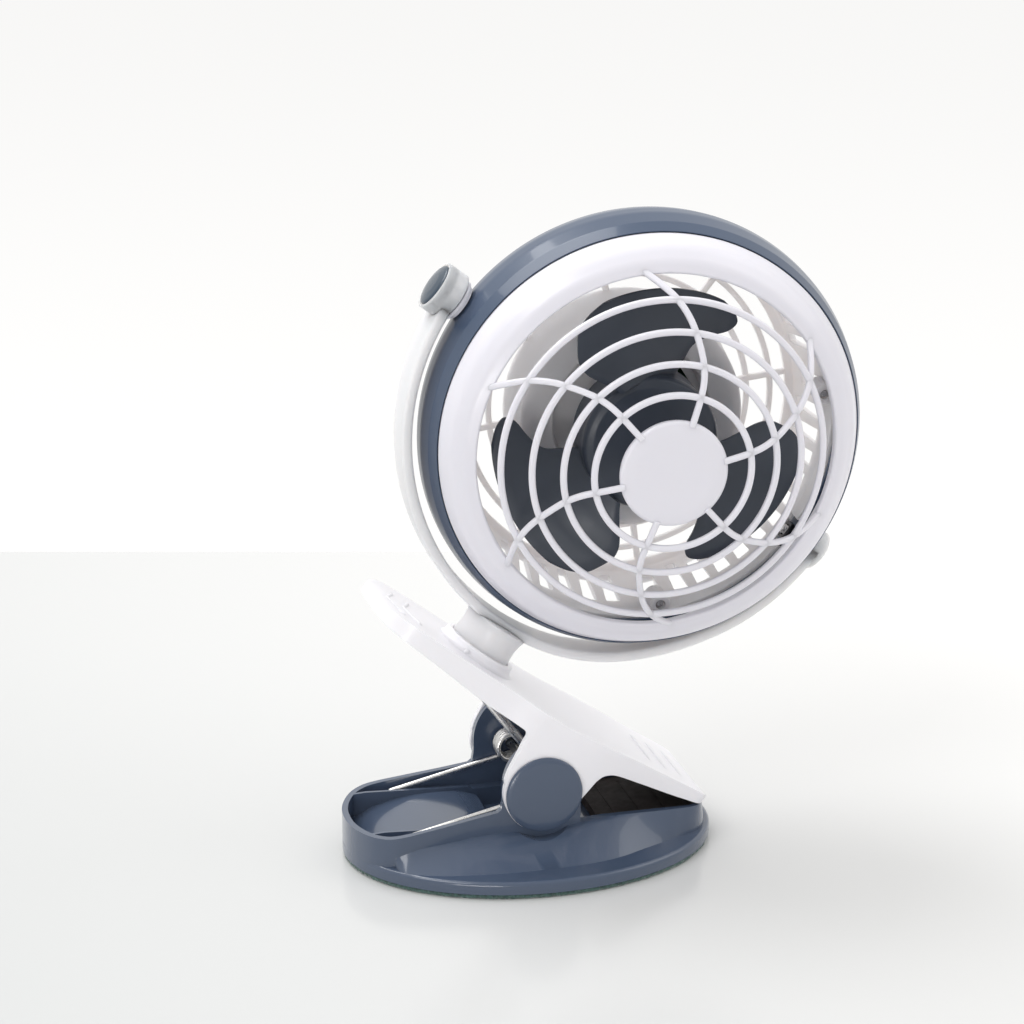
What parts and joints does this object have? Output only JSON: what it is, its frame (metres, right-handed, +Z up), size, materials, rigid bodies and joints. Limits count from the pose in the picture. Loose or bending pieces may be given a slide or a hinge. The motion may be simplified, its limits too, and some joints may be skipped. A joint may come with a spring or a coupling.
{
  "type": "clip fan",
  "caption": "Small clip fan: round guarded head with a swirl grille, tilting in a half-ring yoke that swivels on a spring clip with an oval felt-padded foot.",
  "frame": {"origin": "on the supporting surface, in the plane of symmetry of the clip, straight under the clip pin", "axes": "+X from the squeeze handle to the jaw, +Y from the front of the fan to its back, +Z up"},
  "size_m": [0.1846, 0.1017, 0.2296],
  "materials": {
    "white_plastic": "satin",
    "slate_plastic": "gloss",
    "impeller_plastic": "satin",
    "felt": "felted",
    "jaw_rubber": "matt",
    "spring_steel": "bright",
    "screw_steel": "satin",
    "dark_plastic": "matt",
    "magnet": "matt",
    "rotor_steel": "copper wound",
    "circuit_board": "satin",
    "red_lead": "matt",
    "black_lead": "matt"
  },
  "bodies": {
    "base": {"base_shell": "slate_plastic", "foot_pad": "felt", "lower_jaw_pad": "jaw_rubber", "pivot_pin": "spring_steel", "pin_cap_front": "slate_plastic", "pin_cap_rear": "slate_plastic", "torsion_spring_front": "spring_steel", "torsion_spring_rear": "spring_steel"},
    "lever": {"clip_lever": "white_plastic", "upper_jaw_pad": "jaw_rubber"},
    "yoke": {"yoke": "white_plastic", "swivel_washer": "screw_steel", "swivel_screw": "screw_steel", "pivot_spacer_left": "white_plastic", "pivot_spacer_right": "white_plastic", "pivot_screw_left": "screw_steel", "pivot_screw_right": "screw_steel", "pivot_cap_left": "slate_plastic", "pivot_cap_right": "slate_plastic"},
    "head": {"front_grille": "white_plastic", "housing_ring": "slate_plastic", "rear_cover": "white_plastic", "back_cap": "white_plastic", "back_cap_screw_1": "screw_steel", "back_cap_screw_2": "screw_steel", "back_cap_screw_3": "screw_steel", "case_screw_1": "screw_steel", "case_screw_2": "screw_steel", "case_screw_3": "screw_steel", "case_screw_4": "screw_steel", "motor_can": "spring_steel", "motor_magnet": "magnet", "motor_end_cap": "dark_plastic", "circuit_board": "circuit_board", "switch_body": "dark_plastic", "inlet_socket": "spring_steel", "motor_lead_red": "red_lead", "motor_lead_black": "black_lead", "pivot_nut_left": "screw_steel", "pivot_nut_right": "screw_steel"},
    "impeller": {"impeller": "impeller_plastic", "motor_shaft": "spring_steel", "motor_rotor": "rotor_steel"},
    "switch": {"switch_rocker": "slate_plastic"}
  },
  "joints": [
    {"name": "clip_jaw", "type": "hinge", "parent": "base", "child": "lever", "pos_m": [0, 0, 0.029], "axis": [0, -1, 0], "range_deg": [0, 34], "stiffness_Nm_per_rad": 1, "springref_deg": -28.65, "deforming": ["torsion_spring_front", "torsion_spring_rear"]},
    {"name": "neck_swivel", "type": "hinge", "parent": "lever", "child": "yoke", "pos_m": [0.0404, 0, 0.1518], "axis": [0.5976, 0, 0.8018], "range_deg": [-180, 180]},
    {"name": "head_tilt", "type": "hinge", "parent": "yoke", "child": "head", "pos_m": [0.0404, 0, 0.1518], "axis": [0.8018, 0, -0.5976], "range_deg": [-180, 180]},
    {"name": "impeller_spin", "type": "hinge", "parent": "head", "child": "impeller", "pos_m": [0.0399, -0.00996, 0.15113], "axis": [-0.0502, -0.9965, -0.0674], "continuous": true},
    {"name": "switch_rock", "type": "hinge", "parent": "head", "child": "switch", "pos_m": [0.05174, 0.03453, 0.16701], "axis": [0.8018, 0, -0.5976], "range_deg": [-10, 10]}
  ]
}
